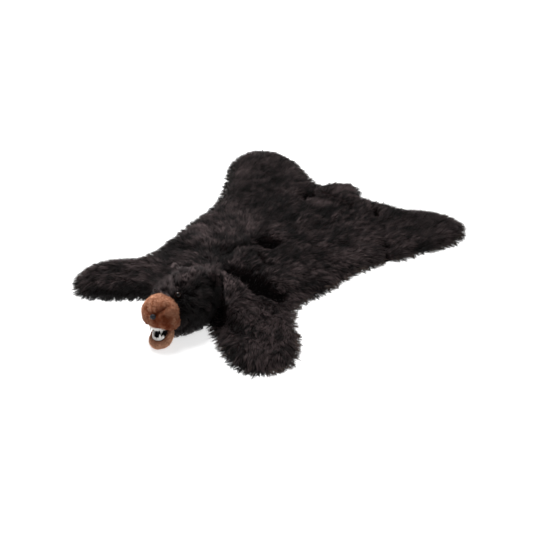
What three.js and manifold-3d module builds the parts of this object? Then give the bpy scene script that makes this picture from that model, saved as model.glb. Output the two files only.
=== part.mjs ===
// A plush bearskin rug: a deep-pile pelt that lies flat on its padded belly, with four spread
// legs, a stub tail and a stuffed head. The nose points to -Y, the tail to +Y, the bear's left is +X,
// and the floor is z = 0. All sizes are in millimetres.

import * as THREE from "three";
import { mergeVertices } from "three/addons/utils/BufferGeometryUtils.js";
import Module from "manifold-3d";

const wasm = await Module();
wasm.setup();

// Driving sizes
const GAP = 0.3; // sewn pieces stay this far apart
const EDGE_HEIGHT = 14; // pelt's height at its cut edge
const BODY_HEIGHT = 29; // height of the pile over the back
const SHOULDER_WIDTH = 36; // how far in from the edge the pile reaches its full height
const LUMP_HEIGHT = 2.6; // uneven pile, up and down
const GRID = 24; // spacing of the points on the fur's top
const EDGE_STEP = 25; // spacing of the points along a cut edge
const BELOW = 10; // blocks start this far below the floor before they are cut to it

// Locks of fur round the rim: root is how far inside the cut edge they start.
const PELT_LOCKS = 262;
const TAIL_LOCKS = 32;
const LOCK = { root: 7, width: 15, height: 16, reach: 9, reachMore: 10, sway: 0.6 };
const COMBED = 0.28; // how far locks lean towards the tail
const LOCK_SEED = { pelt: 7, tail: 11 };

const HEAD_X = 39; // the head lies a little to the bear's left of the back's middle

// The pelt's cut edge, anticlockwise from the left of the neck.
const PELT_EDGE = [
  { at: "left of neck", x: 107, y: -442 },
  { at: "left fore paw, inner side", x: 175, y: -482 },
  { at: "left fore paw, inner side", x: 241, y: -524 },
  { at: "left fore paw, tip", x: 312, y: -558 },
  { at: "left fore paw, tip", x: 375, y: -556 },
  { at: "left fore paw, tip", x: 430, y: -508 },
  { at: "left fore paw, outer side", x: 451, y: -446 },
  { at: "left fore leg", x: 426, y: -390 },
  { at: "left fore leg", x: 393, y: -334 },
  { at: "left armpit", x: 333, y: -278 },
  { at: "left armpit", x: 285, y: -202 },
  { at: "left flank", x: 295, y: -124 },
  { at: "left flank", x: 313, y: -50 },
  { at: "left flank", x: 323, y: 30 },
  { at: "left flank", x: 335, y: 108 },
  { at: "left thigh", x: 361, y: 176 },
  { at: "left thigh", x: 409, y: 260 },
  { at: "left hind leg", x: 447, y: 342 },
  { at: "left hind leg", x: 483, y: 402 },
  { at: "left hind paw", x: 511, y: 470 },
  { at: "left hind paw", x: 510, y: 551 },
  { at: "left hind paw", x: 459, y: 610 },
  { at: "left hind paw", x: 391, y: 620 },
  { at: "left hind paw", x: 326, y: 602 },
  { at: "left rump", x: 232, y: 556 },
  { at: "left rump", x: 146, y: 545 },
  { at: "root of tail", x: 55, y: 526 },
  { at: "root of tail", x: -65, y: 516 },
  { at: "right rump", x: -145, y: 522 },
  { at: "right rump", x: -225, y: 562 },
  { at: "right hind paw", x: -303, y: 613 },
  { at: "right hind paw", x: -373, y: 631 },
  { at: "right hind paw", x: -453, y: 623 },
  { at: "right hind paw", x: -501, y: 580 },
  { at: "right hind paw", x: -511, y: 510 },
  { at: "right hind leg", x: -491, y: 440 },
  { at: "right hind leg", x: -429, y: 337 },
  { at: "right thigh", x: -369, y: 229 },
  { at: "right flank", x: -335, y: 116 },
  { at: "right flank", x: -327, y: 14 },
  { at: "right flank", x: -323, y: -70 },
  { at: "right flank", x: -311, y: -156 },
  { at: "right armpit", x: -307, y: -240 },
  { at: "right armpit", x: -327, y: -302 },
  { at: "right fore leg", x: -375, y: -335 },
  { at: "right fore leg", x: -414, y: -388 },
  { at: "right fore paw", x: -429, y: -449 },
  { at: "right fore paw", x: -413, y: -522 },
  { at: "right fore paw", x: -347, y: -576 },
  { at: "right fore paw, inner side", x: -261, y: -540 },
  { at: "right fore paw, inner side", x: -217, y: -504 },
  { at: "right of neck", x: -155, y: -458 },
  { at: "front of neck", x: -65, y: -426 },
  { at: "front of neck", x: 35, y: -422 },
];

// Where padding or a buckle lifts the pile: a round swelling of that radius.
const SWELLINGS = [
  { at: "left fore paw", x: 347, y: -452, radius: 88, rise: 17 },
  { at: "left fore leg", x: 257, y: -362, radius: 80, rise: 12 },
  { at: "right fore paw", x: -343, y: -482, radius: 86, rise: 17 },
  { at: "right fore leg", x: -233, y: -410, radius: 84, rise: 14 },
  { at: "left hind paw", x: 433, y: 510, radius: 84, rise: 7 },
  { at: "right hind paw", x: -425, y: 522, radius: 90, rise: 9 },
  { at: "behind left shoulder", x: 105, y: -130, radius: 58, rise: 17 },
  { at: "behind left shoulder", x: 200, y: -140, radius: 48, rise: 11 },
  { at: "right shoulder", x: -115, y: -252, radius: 105, rise: 14 },
  { at: "nape", x: 20, y: -290, radius: 88, rise: 31 },
  { at: "back of the hollow", x: -5, y: 76, radius: 42, rise: 7 },
  { at: "front of the hollow", x: -75, y: -48, radius: 46, rise: 7 },
  { at: "rump", x: 15, y: 272, radius: 62, rise: 8 },
  { at: "rump", x: 55, y: 366, radius: 60, rise: 9 },
];

// Folds, hollows and seams: a soft trough of that width along a line.
const TROUGHS = [
  { at: "fold at left shoulder", x1: 2, y1: -184, x2: 235, y2: -193, width: 28, depth: 30 },
  { at: "hollow in the back", x1: -38, y1: 44, x2: -12, y2: 43, width: 26, depth: 21 },
  { at: "shade by the hollow", x1: -60, y1: 0, x2: -92, y2: -70, width: 17, depth: 8 },
  { at: "right shoulder dip", x1: -237, y1: -140, x2: -175, y2: -172, width: 32, depth: 8 },
  { at: "dip before the nape", x1: -135, y1: -102, x2: -101, y2: -116, width: 30, depth: 9 },
  { at: "behind the head's left side", x1: 58, y1: -312, x2: 142, y2: -414, width: 24, depth: 16 },
  { at: "left fore paw dip", x1: 205, y1: -410, x2: 245, y2: -436, width: 26, depth: 12 },
  { at: "left fore leg dip", x1: 221, y1: -280, x2: 257, y2: -288, width: 22, depth: 8 },
  { at: "left hind seam", x1: 313, y1: 310, x2: 399, y2: 224, width: 14, depth: 9 },
  { at: "left hind seam", x1: 313, y1: 310, x2: 185, y2: 480, width: 13, depth: 7 },
  { at: "left hind crease", x1: 407, y1: 362, x2: 435, y2: 372, width: 16, depth: 5 },
  { at: "left thigh dip", x1: 203, y1: 192, x2: 221, y2: 198, width: 20, depth: 8 },
  { at: "right hind seam", x1: -97, y1: 200, x2: -105, y2: 430, width: 15, depth: 10 },
  { at: "right hind seam", x1: -105, y1: 430, x2: -115, y2: 480, width: 18, depth: 12 },
  { at: "fold across the rump", x1: -25, y1: 320, x2: 105, y2: 310, width: 18, depth: 8 },
  { at: "fold before the tail", x1: -65, y1: 414, x2: 105, y2: 430, width: 18, depth: 9 },
];

// The tail's cut edge, anticlockwise from its root, and its height along y.
const TAIL_EDGE = [
  { at: "root, left", x: 65, y: 446 },
  { at: "left side", x: 81, y: 496 },
  { at: "left side", x: 61, y: 546 },
  { at: "left side", x: 25, y: 582 },
  { at: "tip", x: -3, y: 604 },
  { at: "tip", x: -23, y: 604 },
  { at: "right side", x: -51, y: 572 },
  { at: "right side", x: -87, y: 538 },
  { at: "right side", x: -97, y: 492 },
  { at: "root, right", x: -75, y: 448 },
];
const TAIL_ROOT = { y: 446, height: 46 };
const TAIL_TIP = { y: 616, height: 26 };
const TAIL_SHOULDER = 34;
const TAIL_THINNEST = 9; // over the pelt

// The stuffed head, in sections from the muzzle's back to the nape. low is below the floor where
// the head lies flat on it.
const HEAD_SECTIONS = [
  { y: -588, half: 32, low: 46, high: 118 },
  { y: -574, half: 56, low: 14, high: 142 },
  { y: -552, half: 76, low: -7, high: 159 },
  { y: -524, half: 90, low: -12, high: 169 },
  { y: -486, half: 96, low: -27, high: 176 },
  { y: -442, half: 95, low: -34, high: 179 },
  { y: -408, half: 84, low: -22, high: 172 },
  { y: -378, half: 67, low: -8, high: 158 },
  { y: -352, half: 48, low: 10, high: 138 },
  { y: -332, half: 32, low: 28, high: 116 },
  { y: -320, half: 18, low: 44, high: 96 },
];
const HEAD_SQUARENESS = { above: 2.2, below: 2 }; // 2 is an ellipse, more is boxier
const HEAD_AXIS_HEIGHT = 98;
const HEAD_ROLL = 15; // degrees: the chin leans to the bear's left

// The brown muzzle: a ball with lobes, cut off below along the lip.
const MUZZLE = { x: 37, y: -583, z: 102, across: 62, along: 58, up: 61, turn: 20 };
const MUZZLE_LOBES = [
  { at: "left jowl", x: 0.72, y: -0.3, z: -0.62, spread: 0.5, rise: 14 },
  { at: "right jowl", x: -0.72, y: -0.3, z: -0.62, spread: 0.5, rise: 7 },
  { at: "left cheek", x: 0.8, y: -0.2, z: 0.35, spread: 0.42, rise: 9 },
  { at: "right cheek", x: -0.8, y: -0.2, z: 0.35, spread: 0.42, rise: 4 },
  { at: "bridge", x: 0, y: -0.35, z: 0.94, spread: 0.4, rise: 4 },
  { at: "tip", x: 0, y: -0.97, z: 0.1, spread: 0.42, rise: 3 },
  { at: "left groove", x: 0.42, y: -0.72, z: 0.55, spread: 0.2, rise: -5 },
  { at: "right groove", x: -0.42, y: -0.72, z: 0.55, spread: 0.2, rise: -5 },
];
const LIP_DEPTH = 34; // underside of the upper lip in front, below the muzzle's middle
const LIP_DROP = 13; // how much lower it hangs at the mouth's corners
const LIP_CURVE = 1.6;
const LIP_TILT = 22; // degrees that the mouth tilts back from the head's roll, its left corner down

// The lower jaw: a scoop that rests on the floor. share is of its half width and half length.
const JAW = { x: 55, y: -609, half: 36, along: 46, height: 36 };
const JAW_RISE = { height: 24, from: -636, over: 42 }; // the rim climbs to the mouth's corners
const JAW_PROFILE = [
  { share: 0.6, z: 0, out: 1 },
  { share: 0.82, z: 4, out: 1 },
  { share: 0.96, z: 13, out: 1 },
  { share: 1, z: 22, out: 1 },
  { share: 0.96, z: 31, out: 1 },
  { share: 0.88, z: 35, out: 1 },
  { share: 0.78, z: 36, out: -1 },
  { share: 0.67, z: 32, out: -1 },
  { share: 0.5, z: 25, out: -1 },
  { share: 0.25, z: 22, out: -1 },
];
const JAW_HOLLOW = 14; // depth of the scoop

// Black lining of the open mouth: it bulges between the jaws, behind the teeth.
const MOUTH = { x: 47, y: -574, z: 50, half: 36, along: 36, up: 34 };

// Teeth stand on a gum strip that follows the lip or the jaw's rim: half and along are its half
// width and half length, fang is the long teeth's place in degrees from the front.
const UPPER_ROW = { half: 34, along: 37, fang: 34, fangLength: 23, toothLength: 9, way: -1 };
const LOWER_ROW = { half: 22, along: 29, fang: 42, fangLength: 20, toothLength: 6, way: 1 };
const TEETH_BESIDE_FANG = [-2, -1, 1]; // places of the small teeth, in steps away from a fang
const TEETH_STEP = 19; // degrees from a tooth to the next
const TOOTH = { width: 10, fangWidth: 14, depth: 7.5, root: 2 };
const GUM = { height: 5, depth: 7, turn: 70, steps: 12 };

// Places on the face are from the head's axis or the muzzle's middle, before the head's roll.
const NOSE = { up: 15, half: 10.5, high: 9, along: 8 };
const EYE = { aside: 49, y: -540, up: 51, radius: 10 };
const EAR = { aside: 82, y: -400, up: 40, half: 30, high: 34, thick: 18, lean: 40, turn: 20 };
const EAR_CUP = { half: 20, high: 24, thick: 7, forward: 10, up: 3 };

const DEGREE = Math.PI / 180;

// Small helpers

// The same numbers between 0 and 1 each time, from a seed.
function seeded(seed) {
  let state = seed;
  return () => {
    state = (state + 0x6d2b79f5) | 0;
    let t = Math.imul(state ^ (state >>> 15), 1 | state);
    t = (t + Math.imul(t ^ (t >>> 7), 61 | t)) ^ t;
    return ((t ^ (t >>> 14)) >>> 0) / 4294967296;
  };
}

function soft(t) {
  const c = Math.min(1, Math.max(0, t));
  return c * c * (3 - 2 * c);
}

function geometryOf(points, faces) {
  const geometry = new THREE.BufferGeometry();
  geometry.setAttribute("position", new THREE.Float32BufferAttribute(points, 3));
  geometry.setIndex(faces);
  return geometry;
}

function solidOf(geometry) {
  const bare = geometry.clone();
  bare.deleteAttribute("normal");
  bare.deleteAttribute("uv");
  const merged = mergeVertices(bare, 1e-4);
  return new wasm.Manifold(
    new wasm.Mesh({
      numProp: 3,
      vertProperties: new Float32Array(merged.attributes.position.array),
      triVerts: new Uint32Array(merged.index.array),
    }),
  );
}

function geometryFrom(solid) {
  const mesh = solid.getMesh();
  const geometry = geometryOf(Array.from(mesh.vertProperties), Array.from(mesh.triVerts));
  const flat = geometry.toNonIndexed();
  flat.computeVertexNormals();
  return flat;
}

// A closed body lofted through rings of equal length, with a fan over each end.
function loft(rings) {
  const count = rings[0].length;
  const points = rings.flat(2);
  const faces = [];
  for (let i = 0; i + 1 < rings.length; i++) {
    for (let j = 0; j < count; j++) {
      const a = i * count + j;
      const b = i * count + ((j + 1) % count);
      faces.push(a, b, a + count, b, b + count, a + count);
    }
  }
  [rings[0], rings.at(-1)].forEach((ring, end) => {
    const centre = points.length / 3;
    const sum = ring.reduce((s, p) => [s[0] + p[0], s[1] + p[1], s[2] + p[2]], [0, 0, 0]);
    points.push(...sum.map((v) => v / count));
    const first = end === 0 ? 0 : (rings.length - 1) * count;
    for (let j = 0; j < count; j++) {
      const a = first + j;
      const b = first + ((j + 1) % count);
      faces.push(...(end === 0 ? [centre, b, a] : [centre, a, b]));
    }
  });
  return geometryOf(points, faces);
}

// Fur sheet with a cut edge, a height at each point and locks round its rim

function edgePoints(table) {
  const curve = new THREE.CatmullRomCurve3(
    table.map((p) => new THREE.Vector3(p.x, p.y, 0)),
    true,
    "centripetal",
  );
  const count = Math.round(curve.getLength() / EDGE_STEP);
  return curve.getSpacedPoints(count).slice(0, count);
}

// Away from the sheet, square to its edge at point i.
function outward(edge, i) {
  const next = edge[(i + 1) % edge.length];
  const before = edge[(i + edge.length - 1) % edge.length];
  return new THREE.Vector3(next.y - before.y, before.x - next.x, 0).normalize();
}

function grownEdge(edge, grow) {
  return edge.map((p, i) => p.clone().addScaledVector(outward(edge, i), grow));
}

function distanceInside(edge, x, y) {
  let nearest = Infinity;
  let inside = false;
  for (let i = 0, j = edge.length - 1; i < edge.length; j = i++) {
    const a = edge[j];
    const b = edge[i];
    const dx = b.x - a.x;
    const dy = b.y - a.y;
    const along = ((x - a.x) * dx + (y - a.y) * dy) / (dx * dx + dy * dy);
    const t = Math.min(1, Math.max(0, along));
    nearest = Math.min(nearest, Math.hypot(x - a.x - t * dx, y - a.y - t * dy));
    if (a.y > y !== b.y > y && x < a.x + (dx * (y - a.y)) / dy) inside = !inside;
  }
  return inside ? nearest : -nearest;
}

function distanceToLine(line, x, y) {
  const dx = line.x2 - line.x1;
  const dy = line.y2 - line.y1;
  const along = ((x - line.x1) * dx + (y - line.y1) * dy) / (dx * dx + dy * dy);
  const t = Math.min(1, Math.max(0, along));
  return Math.hypot(x - line.x1 - t * dx, y - line.y1 - t * dy);
}

function lumps(x, y) {
  const broad = Math.sin(x / 41 + 1.3 * Math.sin(y / 67)) * Math.sin(y / 47 + 1.1 * Math.sin(x / 59));
  const fine = Math.sin(x / 19 + y / 31) * Math.sin(y / 23 - x / 37);
  return LUMP_HEIGHT * (broad + 0.5 * fine);
}

function peltHeight(x, y) {
  const rise = soft(distanceInside(peltEdge, x, y) / SHOULDER_WIDTH);
  let full = BODY_HEIGHT + lumps(x, y);
  for (const s of SWELLINGS) {
    full += s.rise * Math.exp(-((Math.hypot(x - s.x, y - s.y) / s.radius) ** 2));
  }
  for (const t of TROUGHS) {
    full -= t.depth * Math.exp(-((distanceToLine(t, x, y) / t.width) ** 2));
  }
  return EDGE_HEIGHT + (Math.max(full, EDGE_HEIGHT) - EDGE_HEIGHT) * rise;
}

// The tail lies over the pelt's rear edge and on the floor behind it.
function tailHeight(x, y) {
  const rise = soft(distanceInside(tailEdge, x, y) / TAIL_SHOULDER);
  const along = (y - TAIL_ROOT.y) / (TAIL_TIP.y - TAIL_ROOT.y);
  const full = TAIL_ROOT.height + (TAIL_TIP.height - TAIL_ROOT.height) * soft(along);
  const own = EDGE_HEIGHT + (full - EDGE_HEIGHT) * rise;
  const onPelt = distanceInside(peltEdge, x, y) > 0 ? peltHeight(x, y) : 0;
  return Math.max(own, onPelt + TAIL_THINNEST);
}

// A block from below the floor to the height function, over a rectangle larger than the edge.
function heightBlock(edge, height, grid) {
  const xs = edge.map((p) => p.x);
  const ys = edge.map((p) => p.y);
  const x0 = Math.floor(Math.min(...xs) / grid - 1) * grid;
  const y0 = Math.floor(Math.min(...ys) / grid - 1) * grid;
  const nx = Math.ceil(Math.max(...xs) / grid + 1) - x0 / grid;
  const ny = Math.ceil(Math.max(...ys) / grid + 1) - y0 / grid;
  const points = [];
  const faces = [];
  for (const top of [true, false]) {
    for (let j = 0; j <= ny; j++) {
      for (let i = 0; i <= nx; i++) {
        const x = x0 + i * grid;
        const y = y0 + j * grid;
        points.push(x, y, top ? height(x, y) : -BELOW);
      }
    }
  }
  const layer = (nx + 1) * (ny + 1);
  for (let j = 0; j < ny; j++) {
    for (let i = 0; i < nx; i++) {
      const a = j * (nx + 1) + i;
      const b = a + 1;
      const c = a + nx + 1;
      const d = c + 1;
      faces.push(a, b, d, a, d, c);
      faces.push(a + layer, d + layer, b + layer, a + layer, c + layer, d + layer);
    }
  }
  const side = (a, b) => faces.push(a, a + layer, b + layer, a, b + layer, b);
  for (let i = 0; i < nx; i++) {
    side(i, i + 1);
    side(ny * (nx + 1) + i + 1, ny * (nx + 1) + i);
  }
  for (let j = 0; j < ny; j++) {
    side((j + 1) * (nx + 1), j * (nx + 1));
    side(j * (nx + 1) + nx, (j + 1) * (nx + 1) + nx);
  }
  return solidOf(geometryOf(points, faces));
}

function edgePrism(edge, base) {
  const shape = new THREE.Shape(edge.map((p) => new THREE.Vector2(p.x, p.y)));
  const prism = new THREE.ExtrudeGeometry(shape, { depth: 200, bevelEnabled: false });
  return solidOf(prism.translate(0, 0, base));
}

// One three-sided lock of fur: its underside lies on the floor and its root is inside the sheet.
function lock(root, out, random) {
  const side = new THREE.Vector3(-out.y, out.x, 0);
  const back = root.clone().addScaledVector(out, -LOCK.root);
  const left = back.clone().addScaledVector(side, LOCK.width / 2);
  const right = back.clone().addScaledVector(side, -LOCK.width / 2);
  const crest = back.clone().setZ(LOCK.height * (0.8 + 0.4 * random()));
  const reach = LOCK.reach + LOCK.reachMore * random();
  const tip = root.clone().addScaledVector(out, reach);
  tip.addScaledVector(side, reach * LOCK.sway * (random() - 0.5));
  const points = [left, right, crest, tip].flatMap((p) => [p.x, p.y, p.z]);
  return solidOf(geometryOf(points, [0, 1, 2, 0, 3, 1, 1, 3, 2, 0, 2, 3]));
}

// Locks along the edge where free(x, y) is true, combed towards the tail.
function locksRound(edge, count, free, seed) {
  const random = seeded(seed);
  const curve = new THREE.CatmullRomCurve3(edge, true);
  const spots = curve.getSpacedPoints(count).slice(0, count);
  const made = [];
  spots.forEach((spot, i) => {
    const out = outward(spots, i);
    out.y += COMBED;
    out.normalize();
    if (free(spot.x, spot.y)) made.push(lock(spot, out, random));
  });
  return made;
}

function furSheet(edge, height, grid, locks) {
  const sheet = heightBlock(edge, height, grid).intersect(edgePrism(edge, 0));
  return wasm.Manifold.union([sheet, ...locks]);
}

// The sheet grown by the gap, to cut what lies on it.
function furRoom(edge, height, grid) {
  const block = heightBlock(edge, (x, y) => height(x, y) + GAP * 1.5, grid);
  return block.intersect(edgePrism(grownEdge(edge, GAP), -1));
}

// Head

function headSolid(grow) {
  const around = 26;
  const rings = HEAD_SECTIONS.map((s, i) => {
    const end = i === 0 ? -grow : i === HEAD_SECTIONS.length - 1 ? grow : 0;
    const middle = (s.low + s.high) / 2;
    const up = (s.high - s.low) / 2 + grow;
    return Array.from({ length: around }, (_, j) => {
      const angle = (2 * Math.PI * j) / around;
      const squareness = Math.sin(angle) > 0 ? HEAD_SQUARENESS.above : HEAD_SQUARENESS.below;
      const bend = (v) => Math.sign(v) * Math.abs(v) ** (2 / squareness);
      const x = HEAD_X - bend(Math.cos(angle)) * (s.half + grow);
      const z = middle + bend(Math.sin(angle)) * up;
      return [x, s.y + end, Math.max(z, grow ? -grow : 0)];
    });
  });
  return solidOf(loft(rings));
}

function muzzleRadius(direction) {
  const { across, along, up } = MUZZLE;
  const ball = 1 / Math.hypot(direction.x / across, direction.y / along, direction.z / up);
  return MUZZLE_LOBES.reduce((radius, lobe) => {
    const towards = new THREE.Vector3(lobe.x, lobe.y, lobe.z).normalize();
    const apart = direction.angleTo(towards);
    return radius + lobe.rise * Math.exp(-((apart / lobe.spread) ** 2));
  }, ball);
}

// Turned and rolled with the muzzle, from a frame whose origin is the muzzle's middle.
const muzzlePlace = new THREE.Matrix4()
  .makeTranslation(MUZZLE.x, MUZZLE.y, MUZZLE.z)
  .multiply(new THREE.Matrix4().makeRotationY(-HEAD_ROLL * DEGREE))
  .multiply(new THREE.Matrix4().makeRotationZ(MUZZLE.turn * DEGREE));

// The upper lip's own frame, tilted in the muzzle's.
const lipPlace = muzzlePlace.clone().multiply(new THREE.Matrix4().makeRotationY(LIP_TILT * DEGREE));

// The underside of the upper lip, aside from the muzzle's middle.
function lipHeight(aside) {
  const tilt = LIP_TILT * DEGREE;
  const level = -LIP_DEPTH / Math.cos(tilt) - aside * Math.tan(tilt);
  return level - LIP_DROP * Math.min(1, Math.abs(aside) / MUZZLE.across) ** LIP_CURVE;
}

function muzzleSolid(grow) {
  const sphere = new THREE.SphereGeometry(1, 30, 20);
  const place = sphere.attributes.position;
  const direction = new THREE.Vector3();
  for (let i = 0; i < place.count; i++) {
    direction.fromBufferAttribute(place, i).normalize();
    const r = muzzleRadius(direction) + grow;
    const x = direction.x * r;
    place.setXYZ(i, x, direction.y * r, Math.max(direction.z * r, lipHeight(x) - grow));
  }
  return solidOf(sphere.applyMatrix4(muzzlePlace));
}

// How much higher the jaw's rim is at y than in front.
function jawRise(y) {
  return JAW_RISE.height * soft((y - JAW_RISE.from) / JAW_RISE.over);
}

function jawSolid(grow) {
  const around = 24;
  const rings = JAW_PROFILE.map((p) =>
    Array.from({ length: around }, (_, j) => {
      const angle = (2 * Math.PI * j) / around;
      const y = JAW.y + Math.sin(angle) * (JAW.along * p.share + p.out * grow);
      const z = p.z + (p.z / JAW.height) * jawRise(y);
      return [JAW.x + Math.cos(angle) * (JAW.half * p.share + p.out * grow), y, z + (p.z > 0 ? grow : -grow)];
    }),
  );
  return solidOf(loft(rings));
}

function liningSolid(grow) {
  const ball = new THREE.SphereGeometry(1, 20, 13);
  ball.scale(MOUTH.half + grow, MOUTH.along + grow, MOUTH.up + grow);
  ball.translate(MOUTH.x, MOUTH.y, MOUTH.z);
  return solidOf(ball);
}

// A curved gum strip from low to high, with pointed teeth along its free side.
function teethSolid(row, low, high, place) {
  const at = (turn, r, z) => {
    const angle = turn * DEGREE;
    return [Math.sin(angle) * (row.half + r), -Math.cos(angle) * (row.along + r), z];
  };
  const thick = GUM.depth / 2;
  const strip = Array.from({ length: GUM.steps + 1 }, (_, i) => {
    const turn = GUM.turn * ((2 * i) / GUM.steps - 1);
    return [at(turn, thick, low), at(turn, -thick, low), at(turn, -thick, high), at(turn, thick, high)];
  });
  const parts = [solidOf(loft(strip).applyMatrix4(place))];
  const tooth = (turn, length, width) => {
    const cone = new THREE.ConeGeometry(0.5, 1, 6);
    cone.rotateX((row.way * Math.PI) / 2);
    cone.scale(width, TOOTH.depth, length + TOOTH.root);
    cone.rotateZ(turn * DEGREE);
    const free = row.way > 0 ? high : low;
    cone.translate(...at(turn, 0, free + (row.way * (length - TOOTH.root)) / 2));
    parts.push(solidOf(cone.applyMatrix4(place)));
  };
  for (const side of [1, -1]) {
    tooth(side * row.fang, row.fangLength, TOOTH.fangWidth);
    for (const steps of TEETH_BESIDE_FANG) {
      const turn = row.fang + steps * TEETH_STEP;
      if (turn > -TEETH_STEP / 2) tooth(side * turn, row.toothLength, TOOTH.width);
    }
  }
  return wasm.Manifold.union(parts);
}

function upperTeeth() {
  const low = -LIP_DEPTH - LIP_DROP * 0.5 - GUM.height;
  return teethSolid(UPPER_ROW, low, -LIP_DEPTH + GUM.height, lipPlace);
}

function lowerTeeth() {
  const place = new THREE.Matrix4().makeTranslation(JAW.x, JAW.y, 0);
  const level = teethSolid(LOWER_ROW, JAW.height - JAW_HOLLOW, JAW.height + GUM.height - 1, place);
  return level.warp((point) => {
    point[2] += jawRise(point[1]);
  });
}

function noseSolid() {
  const ball = new THREE.SphereGeometry(1, 16, 12);
  ball.scale(NOSE.half, NOSE.along, NOSE.high);
  const up = NOSE.up / MUZZLE.along;
  const direction = new THREE.Vector3(0, -Math.cos(up), Math.sin(up));
  ball.translate(...direction.multiplyScalar(muzzleRadius(direction)).toArray());
  return solidOf(ball.applyMatrix4(muzzlePlace));
}

// A place beside the head's axis, rolled with the head. side is 1 for the bear's left.
function headPlace(side, part) {
  return new THREE.Matrix4()
    .makeTranslation(HEAD_X, part.y, HEAD_AXIS_HEIGHT)
    .multiply(new THREE.Matrix4().makeRotationY(-HEAD_ROLL * DEGREE))
    .multiply(new THREE.Matrix4().makeTranslation(side * part.aside, 0, part.up));
}

function eyeSolid(side) {
  const ball = new THREE.SphereGeometry(EYE.radius, 16, 12);
  return solidOf(ball.applyMatrix4(headPlace(side, EYE)));
}

// A rounded ear: a thick disc, cupped towards the front.
function earSolid(side) {
  const place = headPlace(side, EAR)
    .multiply(new THREE.Matrix4().makeRotationZ(side * EAR.turn * DEGREE))
    .multiply(new THREE.Matrix4().makeRotationY(side * EAR.lean * DEGREE));
  const disc = new THREE.SphereGeometry(1, 18, 12);
  disc.scale(EAR.half, EAR.thick / 2, EAR.high);
  const cup = new THREE.SphereGeometry(1, 14, 10);
  cup.scale(EAR_CUP.half, EAR_CUP.thick, EAR_CUP.high);
  cup.translate(0, -EAR_CUP.forward, EAR_CUP.up);
  return solidOf(disc.applyMatrix4(place)).subtract(solidOf(cup.applyMatrix4(place)));
}

// Assembly

const COLOURS = {
  black_fur: { color: 0x1a1716, roughness: 0.95 },
  brown_plush: { color: 0x8a5a42, roughness: 0.95 },
  mouth_cloth: { color: 0x0b0909, roughness: 0.9 },
  tooth_felt: { color: 0xefe6e0, roughness: 0.8 },
  nose_black: { color: 0x1c1c22, roughness: 0.4 },
  eye_brown: { color: 0x1a0c08, roughness: 0.1 },
};

const rug = new THREE.Group();

function add(name, solid, look) {
  const material = new THREE.MeshStandardMaterial({ ...COLOURS[look], metalness: 0 });
  const mesh = new THREE.Mesh(geometryFrom(solid), material);
  mesh.name = name;
  rug.add(mesh);
}

const peltEdge = edgePoints(PELT_EDGE);
const tailEdge = edgePoints(TAIL_EDGE);
const underHead = (x, y) => x > -115 && x < 160 && y < -390;
const underTail = (x, y) => x > -97 && x < 87 && y > 490;
const free = (x, y) => !underHead(x, y) && !underTail(x, y);
const onFloor = (x, y) => distanceInside(peltEdge, x, y) < -LOCK.root;

const peltLocks = locksRound(peltEdge, PELT_LOCKS, free, LOCK_SEED.pelt);
const pelt = furSheet(peltEdge, peltHeight, GRID, peltLocks);
const peltRoom = furRoom(peltEdge, peltHeight, GRID);
const tailLocks = locksRound(tailEdge, TAIL_LOCKS, onFloor, LOCK_SEED.tail);
const tail = furSheet(tailEdge, tailHeight, GRID / 2, tailLocks).subtract(peltRoom);

const head = headSolid(0).subtract(peltRoom);
const headRoom = headSolid(GAP);
const muzzle = muzzleSolid(0).subtract(headRoom);
const muzzleRoom = muzzleSolid(GAP);
const faceRoom = headRoom.add(muzzleRoom);
const jaw = jawSolid(0).subtract(faceRoom);
const mouthRoom = faceRoom.add(jawSolid(GAP));
const teethRoom = mouthRoom.add(liningSolid(GAP));

add("pelt", pelt, "black_fur");
add("tail", tail, "black_fur");
add("head", head, "black_fur");
add("muzzle", muzzle, "brown_plush");
add("jaw", jaw, "brown_plush");
add("mouth_lining", liningSolid(0).subtract(mouthRoom), "mouth_cloth");
add("teeth_upper", upperTeeth().subtract(teethRoom), "tooth_felt");
add("teeth_lower", lowerTeeth().subtract(teethRoom), "tooth_felt");
add("nose", noseSolid().subtract(muzzleRoom), "nose_black");
for (const [name, side] of [["left", 1], ["right", -1]]) {
  add(`eye_${name}`, eyeSolid(side).subtract(faceRoom), "eye_brown");
  add(`ear_${name}`, earSolid(side).subtract(headRoom), "black_fur");
}

export default rug;
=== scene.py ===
# A plush bearskin rug: padded skins, a long black pile, a stuffed head with a brown plush muzzle.
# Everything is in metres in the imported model's own frame: nose to -Y, tail to +Y, the bear's left
# is +X and the floor is z = 0. Tables are in millimetres where their comment says so.
import math

import bpy
import numpy as np
from mathutils import Matrix, Vector
from mathutils.bvhtree import BVHTree
from mathutils.kdtree import KDTree


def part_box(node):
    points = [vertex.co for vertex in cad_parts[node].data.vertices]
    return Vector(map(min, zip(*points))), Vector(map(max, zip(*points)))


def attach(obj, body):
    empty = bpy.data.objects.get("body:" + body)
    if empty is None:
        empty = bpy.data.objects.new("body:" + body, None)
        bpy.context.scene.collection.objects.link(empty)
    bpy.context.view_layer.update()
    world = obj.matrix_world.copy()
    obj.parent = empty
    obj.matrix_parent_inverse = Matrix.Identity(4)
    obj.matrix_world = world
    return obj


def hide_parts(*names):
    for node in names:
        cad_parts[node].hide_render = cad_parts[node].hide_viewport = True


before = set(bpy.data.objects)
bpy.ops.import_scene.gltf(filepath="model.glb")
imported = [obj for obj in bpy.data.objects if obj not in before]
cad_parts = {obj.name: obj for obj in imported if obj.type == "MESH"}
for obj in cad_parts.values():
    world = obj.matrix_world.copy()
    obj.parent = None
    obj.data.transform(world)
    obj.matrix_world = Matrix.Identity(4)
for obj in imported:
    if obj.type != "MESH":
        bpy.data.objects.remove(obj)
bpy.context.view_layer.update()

MM = 0.001


def rows_of(columns, *rows):
    """A table's rows, each with its values under the columns' names."""
    names = columns.split()
    return [dict(zip(names, row)) for row in rows]


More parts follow.
